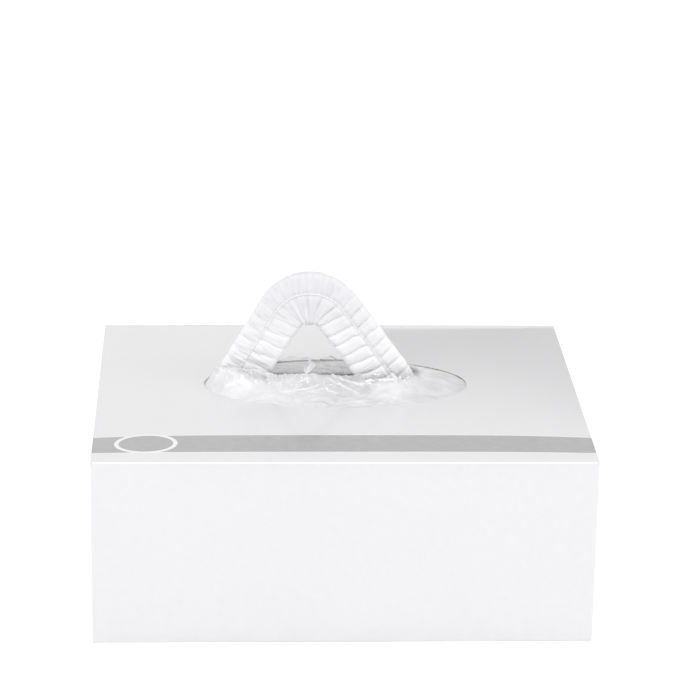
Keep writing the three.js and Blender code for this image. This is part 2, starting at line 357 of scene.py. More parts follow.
def board_finish():
    """White coated board with a semi-gloss varnish, its print, and its front fold with a painted highlight
    line and worn corners.
    """
    board = Finish("coated_board", Roughness=0.5, Coat_Weight=0.9, Coat_Roughness=0.12)
    place = board.place()
    mottle = board.noise(place, 220.0, 3.0)
    relief = mottle * 0.6 + board.noise(place, 14.0, 2.0) * 0.4
    paper = board.colours(relief.between(0.3, 0.7), (0.7, 0.7, 0.712, 1), (0.72, 0.72, 0.732, 1))
    ink = board.colours(mottle.between(0.3, 0.7), grey(0.34), grey(0.37))
    board.feed("Base Color", highlit_and_worn_fold(board, top_print(board, paper, ink)))
    board.feed("Roughness", mottle.between(0.2, 0.8) * 0.08 + 0.38)
    board.bump(relief, 0.05 * MM, 0.35)
    return board.material


def film_finish():
    """Milky poly film, with painted highlights along its creases, painted shade where its shade attribute
    says, and duller where it lies calm at the right.
    """
    film = Finish("poly_film", Roughness=0.16, Coat_Weight=1.0, Coat_Roughness=0.05)
    film.shader.inputs["IOR"].default_value = 1.5
    crease_highlight, milk, shade = (
        film.node("ShaderNodeAttribute", {"attribute_name": name}, output="Fac")
        for name in ("crease_highlight", "milk", "shade")
    )
    place = film.place()
    ripple = film.noise(film.stretched(place, (0.6, 1.0, 1.0)), 140.0, 4.0, 0.6)
    spread = ripple.between(0.3, 0.7)
    # lit and shaded are one film without and with painted shade; within each, the tone follows the ripple
    lit = film.colours(spread, (0.82, 0.82, 0.84, 1), (0.94, 0.94, 0.96, 1))
    shaded = film.colours(spread, (0.64, 0.64, 0.66, 1), (0.78, 0.78, 0.8, 1))
    # Painted highlight: the creases are turned white
    film.feed("Base Color", film.colours(crease_highlight, film.colours(shade, lit, shaded), grey(1.0)))
    film.feed("Alpha", milk + crease_highlight * (1 - milk) * 0.9)
    x, _, _ = film.split(place)
    calm = x.between(26 * MM, 40 * MM)
    film.feed("Coat Weight", 1 - calm * 0.85)
    film.feed("Roughness", calm * 0.3 + 0.16)
    film.bump(ripple, 0.4 * MM, 0.3)
    return film.material


def floor_finish():
    floor = Finish("floor", Roughness=0.8, Emission_Color=grey(1.0), Emission_Strength=0.2)
    floor.shader.inputs["Base Color"].default_value = grey(0.96)
    return floor.material


# Mesh helpers
def deselect_all():
    bpy.ops.object.select_all(action="DESELECT")


def make_active(piece):
    deselect_all()
    piece.select_set(True)
    bpy.context.view_layer.objects.active = piece


def finish_piece(piece, name, materials, smooth_angle):
    make_active(piece)
    bpy.ops.object.transform_apply(location=True, rotation=True, scale=True)
    piece.name = name
    piece.data.name = name
    for material in materials[len(piece.data.materials):]:
        piece.data.materials.append(material)
    bpy.ops.object.shade_smooth_by_angle(angle=math.radians(smooth_angle))
    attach(piece, BODY)


def apply_modifier(piece, kind, **settings):
    make_active(piece)
    modifier = piece.modifiers.new(kind.lower(), kind)
    for setting, value in settings.items():
        setattr(modifier, setting, value)
    bpy.ops.object.modifier_apply(modifier=modifier.name)


def shaped_grid(columns, rows, place, closed=False):
    """A grid whose vertices go where place(column, row) says.

    place gives a point, a UV in millimetres and, where the finish reads them, named values.
    """
    deselect_all()
    bpy.ops.mesh.primitive_grid_add(x_subdivisions=columns, y_subdivisions=rows, size=2)
    piece = bpy.context.object
    mesh = piece.data
    spots, values = {}, {}
    for vertex in mesh.vertices:
        column = round((vertex.co.x + 1) / 2 * columns)
        row = round((vertex.co.y + 1) / 2 * rows)
        point, uv, *named = place(column, row)
        vertex.co = point
        spots[vertex.index] = uv
        for name, value in (named[0] if named else {}).items():
            values.setdefault(name, []).append(value)
    layer = mesh.uv_layers.active.data
    for loop in mesh.loops:
        layer[loop.index].uv = spots[loop.vertex_index]
    for name, column_values in values.items():
        mesh.attributes.new(name, "FLOAT", "POINT").data.foreach_set("value", column_values)
    if closed:
        bpy.ops.object.mode_set(mode="EDIT")
        bpy.ops.mesh.select_all(action="SELECT")
        bpy.ops.mesh.remove_doubles(threshold=0.002 * MM)
        bpy.ops.mesh.normals_make_consistent(inside=False)
        bpy.ops.object.mode_set(mode="OBJECT")
    return piece


# The arch's centreline, as rows of a length and a radius, from the left foot to the right one
def arch_rows():
    left, right = math.radians(ARCH["left"]), math.radians(ARCH["right"])
    upright = math.radians(90)

    def shank(angle, limb):
        shoulder = ARCH["z"] + ARCH["radius"] * math.cos(angle)
        return shoulder - limb * math.sin(angle) - FOOT_RADIUS * math.cos(angle) - FLOOR_Z

    rows = [
        {"length": shank(left, LEFT_LIMB), "radius": None},
        {"length": FOOT_RADIUS * (upright - left), "radius": FOOT_RADIUS},
        {"length": LEFT_LIMB, "radius": None},
        {"length": ARCH["radius"] * (left + right), "radius": ARCH["radius"], "is_arch": True},
        {"length": RIGHT_LIMB, "radius": None},
        {"length": FOOT_RADIUS * (upright - right), "radius": FOOT_RADIUS},
        {"length": shank(right, RIGHT_LIMB), "radius": None},
    ]
    x = z = start = 0.0
    heading = upright
    for row in rows:
        row.update(x=x, z=z, heading=heading, start=start)
        start += row["length"]
        if row["radius"]:
            turned = heading - row["length"] / row["radius"]
            x += row["radius"] * (math.sin(heading) - math.sin(turned))
            z += row["radius"] * (math.cos(turned) - math.cos(heading))
            heading = turned
        else:
            x += row["length"] * math.cos(heading)
            z += row["length"] * math.sin(heading)
    arch = next(row for row in rows if row.get("is_arch"))
    shift_x = ARCH["x"] - ARCH["radius"] * math.sin(arch["heading"]) - arch["x"]
    shift_z = ARCH["z"] + ARCH["radius"] * math.cos(arch["heading"]) - arch["z"]
    for row in rows:
        row["x"] += shift_x
        row["z"] += shift_z
    return rows


ROWS = arch_rows()
STRIP_LENGTH = ROWS[-1]["start"] + ROWS[-1]["length"]
RIB_PITCH = STRIP_LENGTH / RIB_COUNT
ARCH_START, ARCH_END = ROWS[3]["start"], ROWS[4]["start"]


def centreline(distance):
    """The strip's middle at a distance along it: its x, its z and its heading."""
    row = next(row for row in reversed(ROWS) if distance >= row["start"] or row is ROWS[0])
    rest = distance - row["start"]
    heading = row["heading"]
    if row["radius"]:
        turned = heading - rest / row["radius"]
        x = row["x"] + row["radius"] * (math.sin(heading) - math.sin(turned))
        z = row["z"] + row["radius"] * (math.cos(turned) - math.cos(heading))
        return x, z, turned
    return row["x"] + rest * math.cos(heading), row["z"] + rest * math.sin(heading), heading


# Where it turns over, the strip lies broader than on its limbs
APEX_INNER, APEX_OUTER, APEX_REACH = 0.19, 0.11, 14 * MM
BEND_EASE = 7 * MM


def strip_point(distance, across, through):
    x, z, heading = centreline(min(max(distance, 0.0), STRIP_LENGTH))
    apex = math.exp(-(((distance - (ARCH_START + ARCH_END) / 2) / APEX_REACH) ** 2))
    across *= 1 + apex * (APEX_INNER if across < 0 else APEX_OUTER)
    return Vector((x - across * math.sin(heading), STRIP_Y + through, z + across * math.cos(heading)))


def bend(distance):
    """How much of the arch's own curvature there is at a distance: 1 inside the arch, 0 on the limbs."""
    rise = smoothstep(ARCH_START - BEND_EASE, ARCH_START + BEND_EASE, distance)
    return rise * (1 - smoothstep(ARCH_END - BEND_EASE, ARCH_END + BEND_EASE, distance))


def end_squeeze(distance):
    from_end = min(distance, STRIP_LENGTH - distance)
    return mix(END_FLATNESS, 1.0, smoothstep(0, END_SEAL, from_end))


# The web's section
# Each sample is a place on the wall as it goes back and forth through the pleats: its across and
# through, the way that a lobe pushes it, how strongly, the pleat's number and its path length.
FOLD_BULB = 2.5 * MM
HIDDEN_STRENGTH = 0.18

# How far each layer reaches past the strip's half width on the arch's outer side
OUTER_REACH = [1.2 * MM, 1.2 * MM, 0.2 * MM, 0.2 * MM, -0.6 * MM]

# How much a fold swells into the gap beside it, and on the strip's faces
FOLD_SWELL, FACE_SWELL = 3.7, 0.5


def layer_through(index):
    return (index - (LAYERS - 1) / 2) * LAYER_PITCH


def is_face(index):
    return index in (0, LAYERS - 1)


def web_section():
    samples = []
    turn = LAYER_PITCH / 2
    face_steps, hidden_steps, fold_steps, hem_steps = 30, 6, 8, 5

    def reach(index, side):
        return STRIP_HALF - FOLD_BULB + (OUTER_REACH[index] if side > 0 else 0)

    def add(across, through, push, strength, layer):
        samples.append({"across": across, "through": through, "push": push,
                        "strength": strength, "layer": layer})

    def strength_of(index):
        return 1.0 if is_face(index) else HIDDEN_STRENGTH

    def fold(index, side):
        """The round bulb that joins a layer to the next one."""
        for step in range(1, fold_steps):
            angle = math.radians(180) * step / fold_steps
            sine, cosine = math.sin(angle), math.cos(angle)
            on_face = index == 0 and cosine > 0 or index == LAYERS - 2 and cosine < 0
            swell = FACE_SWELL if on_face else FOLD_SWELL
            through = layer_through(index) + turn - turn * cosine * (1 + swell * sine * sine)
            strength = mix(strength_of(index), strength_of(index + 1), smoothstep(0, 1, step / fold_steps))
            strength = mix(strength, 0.6, sine)
            across = side * (reach(index, side) + FOLD_BULB * sine)
            add(across, through, (side * sine, -cosine), strength, index)

    def hem(index, side, inward):
        """The free edge, curled in towards the stack."""
        for step in range(1, hem_steps + 1):
            angle = math.radians(140) * step / hem_steps
            sine, cosine = math.sin(angle), math.cos(angle)
            through = layer_through(index) + inward * turn * (1 - cosine)
            across = side * (reach(index, side) + FOLD_BULB * sine)
            yield across, through, (side * sine, -inward * cosine), mix(1, 0.5, sine), index

    for place in reversed(list(hem(0, -1, 1))):
        add(*place)
    for index in range(LAYERS):
        side = 1 if index % 2 == 0 else -1
        outward = 1 if index == LAYERS - 1 else -1 if index == 0 else (-1) ** index
        steps = face_steps if is_face(index) else hidden_steps
        for step in range(steps + 1):
            across = mix(-side * reach(index, -side), side * reach(index, side), step / steps)
            add(across, layer_through(index), (0, outward), strength_of(index), index)
        if index < LAYERS - 1:
            fold(index, side)
    for place in hem(LAYERS - 1, 1, -1):
        add(*place)
    path = 0.0
    for here, before in zip(samples, [samples[0]] + samples):
        path += math.hypot(here["across"] - before["across"], here["through"] - before["through"])
        here["path"] = path
    return samples


# The gathers
# The lobes on the two sides of the seam are staggered, and wander a little along the strip.
GATHER_RATIO = 1.3
STAGGER, LAYER_STAGGER, WANDER = 0.45, 0.13, 0.2
CRUMPLE_HEIGHT = 1.3 * MM

# How the lobes look on each limb: the slant of their creases, how flat their backs and how steep
# their sides are, their height's share, and how crumpled the cloth is
LOBES = [
    {"limb": "left", "slant": -0.12, "flatness": 2.2, "steepness": 0.75, "fullness": 0.42, "crumple": 0.5},
    {"limb": "right", "slant": 0.17, "flatness": 3.2, "steepness": 0.5, "fullness": 1.0, "crumple": 0.13},
]


def lobe_form(column, right):
    """A column of the lobes' table between the left limb, at 0, and the right one, at 1."""
    left_limb, right_limb = LOBES
    return mix(left_limb[column], right_limb[column], right)


def turned_height(stretch):
    """The lobes' height where the arch's bend stretches the cloth, or crowds it below 1."""
    return stretch ** 0.9 if stretch < 1 else 1 - 0.62 * (stretch - 1) / 0.63


def gather(distance, across, layer):
    """The height of the gathers at a place on the web: lobes between sharp creases, in metres."""
    outer = across > SEAM_OFFSET
    side = (across - SEAM_OFFSET) / STRIP_HALF
    right = smoothstep(ARCH_START, ARCH_END, distance)
    slant = lobe_form("slant", right) * abs(across - SEAM_OFFSET)
    rib = (distance + slant) / RIB_PITCH + (0 if outer else STAGGER) + LAYER_STAGGER * layer
    rib += WANDER * random_wave(rib * 0.9, side * 1.4 + (3.1 if outer else 0), layer * 1.7)
    number = math.floor(rib)
    spread = abs(2 * (rib - number) - 1)
    height = (1 - spread ** lobe_form("flatness", right)) ** lobe_form("steepness", right)
    height *= 0.86 + 0.3 * random_wave(number * 3.7, 1.3 if outer else 8.1, layer * 2.3)
    height *= turned_height(1 + across * bend(distance) / ARCH["radius"]) * lobe_form("fullness", right)
    fine = random_wave(distance / (1.3 * MM), across / (6 * MM), layer * 5.0)
    soft = random_wave(distance / (3.0 * MM), across / (9 * MM), layer * 2.0 + 40)
    crumple = lobe_form("crumple", right) + 0.3 * bend(distance) * smoothstep(0, -0.8, side)
    return LOBE_HEIGHT * height + (0.4 * fine + 0.6 * soft) * crumple * CRUMPLE_HEIGHT


def seam_valley(across):
    """The share of the lobes' height that the seam leaves: the least on it, all of it beside it."""
    return mix(0.42, 1.0, smoothstep(0.1 * MM, 2.4 * MM, abs(across - SEAM_OFFSET)))


# How far the web's wall is drawn in, so that its lobes stand about the solid's surface
WALL_INSET = 0.5 * MM
STEPS_PER_RIB = 16


def pleated_cap(cloth):
    section = web_section()
    steps = RIB_COUNT * STEPS_PER_RIB

    def place(column, row):
        sample = section[column]
        distance = STRIP_LENGTH * row / steps
        squeeze = end_squeeze(distance)
        height = gather(distance, sample["across"], sample["layer"]) * sample["strength"] * squeeze
        if is_face(sample["layer"]):
            height *= seam_valley(sample["across"])
        push_across, push_through = sample["push"]
        across = sample["across"] + push_across * (height - WALL_INSET)
        through = (sample["through"] + push_through * height) * squeeze
        return strip_point(distance, across, through), (sample["path"] / MM, distance / MM)

    web = shaped_grid(len(section) - 1, steps, place)
    finish_piece(web, "pleated_cap", [cloth], 50)
    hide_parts("pleated_crown")
    return web


# The elastic along the middle of a face, pinched between its stitches
STITCH_PITCH = 2.3 * MM
CORD_RADIUS = 0.32 * MM


def elastic(name, node, side, yarn):
    rings, sides = 600, 8

    def place(column, row):
        distance = STRIP_LENGTH * row / rings
        angle = 2 * math.pi * column / sides
        beat = abs(math.sin(math.pi * distance / STITCH_PITCH))
        closing = smoothstep(0, 1.5 * MM, min(distance, STRIP_LENGTH - distance))
        radius = CORD_RADIUS * mix(0.3, 1.2, smoothstep(0.1, 0.5, beat)) * closing
        squeeze = end_squeeze(distance)
        valley = gather(distance, SEAM_OFFSET, 0 if side < 0 else LAYERS - 1) * seam_valley(SEAM_OFFSET)
        sink = (LAYERS - 1) / 2 * LAYER_PITCH * squeeze + mix(0.55 * MM, valley, 0.6) + 0.35 * MM
        wander = 0.3 * MM * random_wave(distance / (9 * MM), side, 0)
        across = SEAM_OFFSET + wander + radius * math.cos(angle)
        through = side * sink + radius * 0.7 * math.sin(angle)
        return strip_point(distance, across, through), (column / sides * 3, distance / MM)

    cord = shaped_grid(sides, rings, place, closed=True)
    finish_piece(cord, name, [yarn], 60)
    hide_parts(node)
    return cord


# The carton
# NEAR tells a corner on an edge from one beside it. The teeth are those of the opening's perforation.
NEAR = 0.1 * MM
SIDE_BULGE = 0.9 * MM
TEETH, TOOTH_DEPTH = 104, 0.32 * MM
FLAP_CORNER, FLAP_EDGE = 7 * MM, 0.12 * MM


def pillow(first, second):
    """How a panel bulges between its folds: 1 in its middle, 0 on its edges, which are at -1 and 1."""
    return max(0.0, (1 - abs(first) ** 4) * (1 - abs(second) ** 4))


def top_bulge(x, y):
    return PANEL_BULGE * pillow(x / HALF_WIDTH, y / HALF_DEPTH)


def edit_select(test, kind):
    """In edit mode, select what the test picks."""
    data = bmesh.from_edit_mesh(bpy.context.object.data)
    bpy.ops.mesh.select_all(action="DESELECT")
    bpy.ops.mesh.select_mode(type=kind)
    items = {"FACE": data.faces, "EDGE": data.edges}[kind]
    for item in items:
        item.select = bool(test(item))
    data.select_flush_mode()
    bmesh.update_edit_mesh(bpy.context.object.data)


def opening_cutter(core):
    """A tall oval prism with the small teeth that a perforation leaves."""
    deselect_all()
    bpy.ops.mesh.primitive_cylinder_add(
        vertices=TEETH * 4, radius=1, depth=30 * MM, location=(0, 0, HEIGHT))
    cutter = bpy.context.object
    bpy.ops.object.transform_apply(location=True, rotation=True, scale=True)
    for vertex in cutter.data.vertices:
        angle = math.atan2(vertex.co.y, vertex.co.x)
        tooth = max(0.0, math.cos(angle * TEETH)) ** 2 * TOOTH_DEPTH
        tooth *= 0.4 + 1.2 * abs(random_wave(math.cos(angle) * 9, math.sin(angle) * 9, 0))
        vertex.co.x = OPENING["x"] + (OPENING["half_x"] - tooth) * math.cos(angle)
        vertex.co.y = OPENING["y"] + (OPENING["half_y"] - tooth) * math.sin(angle)
    cutter.data.materials.append(core)
    return cutter


def carton_sleeve(board, inside, core):
    """The top, front, bottom and back as one folded board."""
    deselect_all()
    middle, size = Vector((0, 0, HEIGHT / 2)), (2 * HALF_WIDTH, 2 * HALF_DEPTH, HEIGHT)
    bpy.ops.mesh.primitive_cube_add(size=1, location=middle, scale=size)
    sleeve = bpy.context.object
    bpy.ops.object.transform_apply(location=True, rotation=True, scale=True)
    bpy.ops.object.mode_set(mode="EDIT")
    edit_select(lambda face: abs(face.normal.x) > 0.9, "FACE")
    bpy.ops.mesh.delete(type="FACE")
    edit_select(lambda edge: abs(edge.verts[0].co.x - edge.verts[1].co.x) > HALF_WIDTH, "EDGE")
    bpy.ops.mesh.bevel(offset=FOLD_RADIUS, segments=4, affect="EDGES")
    for normal, length, count in zip(((1, 0, 0), (0, 1, 0), (0, 0, 1)), size, (30, 26, 8)):
        for step in range(1, count):
            place = middle + Vector(normal) * length * (step / count - 0.5)
            bpy.ops.mesh.select_all(action="SELECT")
            bpy.ops.mesh.bisect(plane_co=place, plane_no=normal)
    bpy.ops.object.mode_set(mode="OBJECT")
    for vertex in sleeve.data.vertices:
        x, y, z = vertex.co
        if z > HEIGHT - 0.01 * MM:
            vertex.co.z += top_bulge(x, y)
        if abs(y) > HALF_DEPTH - 0.01 * MM:
            out = SIDE_BULGE * pillow(x / HALF_WIDTH, (z - middle.z) / middle.z)
            vertex.co.y += math.copysign(out, y)
    for material in (board, inside):
        sleeve.data.materials.append(material)
    apply_modifier(sleeve, "SOLIDIFY", thickness=BOARD, offset=-1, material_offset=1, material_offset_rim=0)
    cutter = opening_cutter(core)
    apply_modifier(sleeve, "BOOLEAN", operation="DIFFERENCE", object=cutter, solver="EXACT",
                   material_mode="TRANSFER")
    bpy.data.objects.remove(cutter, do_unlink=True)
    finish_piece(sleeve, "carton_sleeve", [board, inside, core], 35)
    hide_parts("carton_top", "carton_front", "carton_bottom", "carton_back")


def end_flap(node, board, inside, core):
    """One end flap: a board with round outer corners on its free edge."""
    low, high = (Vector(corner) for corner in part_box(node))
    upper = "upper" in node
    outward = math.copysign(1, low.x)
    deselect_all()
    bpy.ops.mesh.primitive_cube_add(size=1, location=(low + high) / 2, scale=high - low)
    flap = bpy.context.object
    bpy.ops.object.transform_apply(location=True, rotation=True, scale=True)
    bpy.ops.object.mode_set(mode="EDIT")
    free_z = low.z if upper else high.z

    def is_free_corner(edge):
        first, second = (vertex.co for vertex in edge.verts)
        on_free_edge = max(abs(first.z - free_z), abs(second.z - free_z)) < NEAR
        return on_free_edge and abs(first.x - second.x) > NEAR

    edit_select(is_free_corner, "EDGE")
    bpy.ops.mesh.bevel(offset=FLAP_CORNER, segments=8, affect="EDGES")
    bpy.ops.object.mode_set(mode="OBJECT")
    for material in (board, inside, core):
        flap.data.materials.append(material)
    for face in flap.data.polygons:
        facing = face.normal.x * outward
        face.material_index = 0 if facing > 0.5 else 1 if facing < -0.5 else 2
    apply_modifier(flap, "BEVEL", width=FLAP_EDGE, segments=2, limit_method="ANGLE")
    finish_piece(flap, f"{node}_board", [board, inside, core], 35)
    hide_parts(node)


# The film window
# It is a ring-shaped sheet. Outside the rim it is glued under the panel, and inside it rises to a
# lip, which follows the slit and wraps round both limbs. A place on it is an angle that goes from
# the right end over the front, and a share that is 0 on the rim and 1 on the lip.
FILM_MARGIN = 12 * MM
FILM_DROP = 0.05 * MM
LIP_MIDDLE_X, LIP_HALF = -13.1 * MM, 52.4 * MM
LIP_CROWDING = 1.5

# The lip's place: behind the strip's middle plane and above the shelf, in mm, and how late the
# film rises to it. The angle is in degrees, from the right end over the front.
LIP = [
    {"angle": 0, "behind": 0, "z": 110.5, "late": 1.4},
    {"angle": 14, "behind": -5.5, "z": 111.5, "late": 1.6},
    {"angle": 26, "behind": -9.3, "z": 111, "late": 2.0},
    {"angle": 40, "behind": -9.5, "z": 109.5, "late": 2.2},
    {"angle": 54, "behind": -9.3, "z": 108.5, "late": 2.4},
    {"angle": 62, "behind": -9.0, "z": 109, "late": 2.6},
    {"angle": 69, "behind": -3.0, "z": 105.5, "late": 2.4},
    {"angle": 79, "behind": 1.2, "z": 104.4, "late": 2.3},
    {"angle": 90, "behind": 1.8, "z": 104.6, "late": 2.3},
    {"angle": 101, "behind": 1.6, "z": 104.8, "late": 2.3},
    {"angle": 110, "behind": -1.8, "z": 105.5, "late": 2.3},
    {"angle": 117, "behind": -8.8, "z": 109, "late": 2.5},
    {"angle": 126, "behind": -9.4, "z": 111, "late": 2.4},
    {"angle": 140, "behind": -9.6, "z": 112, "late": 2.2},
    {"angle": 154, "behind": -9.2, "z": 112, "late": 1.8},
    {"angle": 167, "behind": -5.4, "z": 111, "late": 1.5},
    {"angle": 180, "behind": 0, "z": 108.5, "late": 1.3},
    {"angle": 194, "behind": 5.4, "z": 105.5, "late": 1.5},
    {"angle": 207, "behind": 9.3, "z": 104.5, "late": 2.0},
    {"angle": 228, "behind": 9.8, "z": 105.5, "late": 3},
    {"angle": 242, "behind": 9.6, "z": 110, "late": 20},
    {"angle": 250, "behind": 9.0, "z": 110.5, "late": 30},
    {"angle": 262, "behind": 8.6, "z": 111.5, "late": 30},
    {"angle": 278, "behind": 8.4, "z": 111, "late": 30},
    {"angle": 290, "behind": 9.0, "z": 109.5, "late": 30},
    {"angle": 300, "behind": 9.6, "z": 106, "late": 20},
    {"angle": 314, "behind": 9.8, "z": 104, "late": 3},
    {"angle": 334, "behind": 9.3, "z": 104.5, "late": 2.0},
    {"angle": 347, "behind": 5.5, "z": 106.5, "late": 1.6},
]

# The middle and the half width of what each limb takes up at the lip, from left to right
LIMBS_AT_LIP = [{"x": -51 * MM, "half": 13 * MM}, {"x": 25 * MM, "half": 14 * MM}]

# The gap between the limbs, where the back lip stands up: its middle, and where it ends at each side
GAP_MIDDLE, GAP_INNER, GAP_OUTER = -12.5 * MM, 24 * MM, 30 * MM

# How milky the film is where it lies over the carton's inside
FILM_MILK = 0.9

# A torn flap that stands on the lip, as a kite with its four corners in mm
TORN_FLAP = {
    "foot": (-16.2, 5.4, 104.0),
    "left": (-18.0, 6.2, 106.6),
    "right": (-11.6, 6.6, 109.0),
    "tip": (-14.8, 7.4, 112.4),
}
TORN_BELLY = 1.6 * MM

Fold = namedtuple("Fold", "x0 y0 x1 y1 height width shine")

# Tension folds in the film, in millimetres: both ends, the ridge's height before FOLD_RISE and its
# half width, and how white the painted highlight along the fold is
FOLD_RISE, FOLD_REACH = 0.6, 5
FOLDS = [
    Fold(-3.3, 4.6, 6.9, -3.4, 0.8, 0.6, 1.0),
    Fold(6.9, -3.4, 13.5, -9.0, 0.9, 0.6, 1.0),
    Fold(13.5, -9.0, 19.3, -8.8, 0.9, 0.6, 1.0),
    Fold(19.6, -8.2, 30.5, -8.0, 0.5, 0.6, 0.8),
    Fold(31.2, -7.8, 28.0, -5.8, 0.4, 0.6, 0.9),
    Fold(-5.0, 2.6, -0.9, -2.6, 0.8, 0.6, 1.0),
    Fold(-0.9, -2.6, 4.2, -7.7, 0.9, 0.6, 1.0),
    Fold(4.2, -7.7, 10.7, -14.2, 0.8, 0.6, 1.0),
    Fold(-23.0, -10.2, -15.0, -7.8, 0.8, 0.7, 1.0),
    Fold(-15.0, -7.8, -10.2, -4.6, 0.7, 0.6, 1.0),
    Fold(-23.5, -9.0, -19.3, -3.6, 0.7, 0.5, 0.8),
    Fold(-20.2, -1.4, -15.9, 2.3, 0.9, 0.7, 1.0),
    Fold(-16.0, 1.2, -16.1, -3.2, 0.6, 0.6, 0.9),
    Fold(-6.6, -6.7, -5.5, -11.4, 0.7, 0.6, 1.0),
    Fold(-5.5, -11.4, -0.6, -13.2, 0.7, 0.6, 1.0),
    Fold(-11.2, -10.6, -7.6, -8.4, 0.5, 0.6, 0.9),
    Fold(-16.4, -11.2, -11.4, -13.0, 0.5, 0.6, 0.7),
    Fold(-43.4, -6.3, -33.3, -2.2, 0.4, 0.8, 0.7),
    Fold(-51.0, -9.2, -47.2, -11.8, 0.4, 1.6, 0.9),
    Fold(-64.0, -4.6, -53.0, -8.0, 0.4, 1.2, 0.7),
    Fold(-31.0, -13.0, -24.0, -11.0, 0.4, 0.7, 0.5),
    Fold(8.0, -25.0, 19.3, -14.0, 0.5, 1.0, 0.2),
    Fold(19.3, -14.0, 29.5, -10.0, 0.5, 1.0, 0.3),
    Fold(26.8, -26.0, 31.8, -14.0, 0.5, 0.9, 0.3),
    Fold(21.0, -26.0, 25.8, -20.0, 0.4, 0.9, 0.25),
    Fold(-26.0, 18.0, 4.0, 14.0, 0.6, 0.8, 0.4),
    Fold(-18.0, 30.0, 8.0, 19.0, 0.7, 0.8, 0.7),
    Fold(-8.0, 33.0, 14.0, 22.0, 0.6, 0.8, 0.5),
    Fold(-26.0, 14.0, -22.0, 30.0, 0.7, 0.6, 0.5),
]


def top_plane(x, y):
    return HEIGHT - BOARD - FILM_DROP + top_bulge(x, y)


def lip_row(angle, column):
    """A smooth curve through a column of the lip's table, at an angle in degrees."""
    angle %= 360
    count = len(LIP)
    number = max(index for index in range(count) if LIP[index]["angle"] <= angle)
    rows = [LIP[(number + step) % count] for step in (-1, 0, 1, 2)]
    before, first, second, after = (row[column] for row in rows)
    gaps = [(rows[step + 1]["angle"] - rows[step]["angle"]) % 360 for step in range(3)]
    share = (angle - rows[1]["angle"]) / gaps[1]
    slope = (second - before) / (gaps[0] + gaps[1]) * gaps[1]
    next_slope = (after - first) / (gaps[1] + gaps[2]) * gaps[1]
    square, cube = share ** 2, share ** 3
    value = first * (2 * cube - 3 * square + 1) + second * (3 * square - 2 * cube)
    return value + slope * (cube - 2 * square + share) + next_slope * (cube - square)


def over_limb(x):
    """1 where a limb stands behind the film's lip, 0 beside the limbs."""
    soft = 1.5 * MM
    return max(near(x, limb["x"], limb["half"] - soft, limb["half"] + soft) for limb in LIMBS_AT_LIP)


def fold_height(x, y):
    """The tension folds' height at a place, and how sharply creased the film is there, which sets the
    painted highlight along the folds.
    """
    rise, sharp = 0.0, 0.0
    for fold in FOLDS:
        across, along = fold.x1 - fold.x0, fold.y1 - fold.y0
        share = ((x - fold.x0) * across + (y - fold.y0) * along) / (across ** 2 + along ** 2)
        share = min(max(share, 0.0), 1.0)
        off = math.hypot(x - fold.x0 - share * across, y - fold.y0 - share * along) / fold.width
        if off < FOLD_REACH:
            ends = smoothstep(0, 0.2, share) * smoothstep(1, 0.8, share)
            rise += FOLD_RISE * fold.height * math.exp(-off) * mix(0.35, 1, ends)
            sharp = max(sharp, fold.shine * math.exp(-(off * 1.1) ** 2) * mix(0.6, 1, ends))
    return rise * MM, sharp


def ridges(angle, share, frequency, seed):
    """Narrow folds that run from the rim to the lip: 1 on a ridge, 0 between them."""
    radians = math.radians(angle)
    around = Vector((math.cos(radians), math.sin(radians), 0)) * frequency
    value = noise.noise(around + Vector((0, 0, seed + 0.5 * share)))
    return max(0.0, 1 - abs(value) * 9) ** 1.5


# A spot on the film inside the rim: where it is round the film and between the rim and the lip, the
# lip's x there, its own x and y, and how much it belongs to the front, to the standing back lip and
# to the calm right end
Spot = namedtuple("Spot", "angle sine share lip_x x y front standing calm")


def lip_waver(spot):
    slow = random_wave(spot.lip_x / (5 * MM), spot.sine * 3, 2)
    quick = random_wave(spot.lip_x / (1.6 * MM), spot.sine * 3, 9)
    return slow + 0.5 * quick


def film_rise(spot, base):
    """The film's height at a spot as it rises from the rim's level to the lip, without its folds."""
    drape = mix(lip_waver(spot), random_wave(spot.lip_x / (7 * MM), 4, 2), spot.standing)
    lip_z = lip_row(spot.angle, "z") * MM + mix(1.0, 3.0, spot.standing) * MM * drape
    droop = smoothstep(0.5, 0.8, spot.share) * smoothstep(0.97, 0.9, spot.share) * 1.4 * MM
    return base + (lip_z - base) * spot.share ** lip_row(spot.angle, "late") - spot.standing * droop


def dents(spot):
    """Lumps and dimples in millimetres, weaker towards the lip and at the calm right end."""
    lumps = random_wave(spot.x / (5 * MM), spot.y / (4 * MM), 0)
    dimples = abs(random_wave(spot.x / (2.3 * MM), spot.y / (2.0 * MM), 7))
    return (0.45 * lumps - 0.25 * dimples) * mix(1, 0.4, spot.calm) * (1 - 0.6 * spot.share)


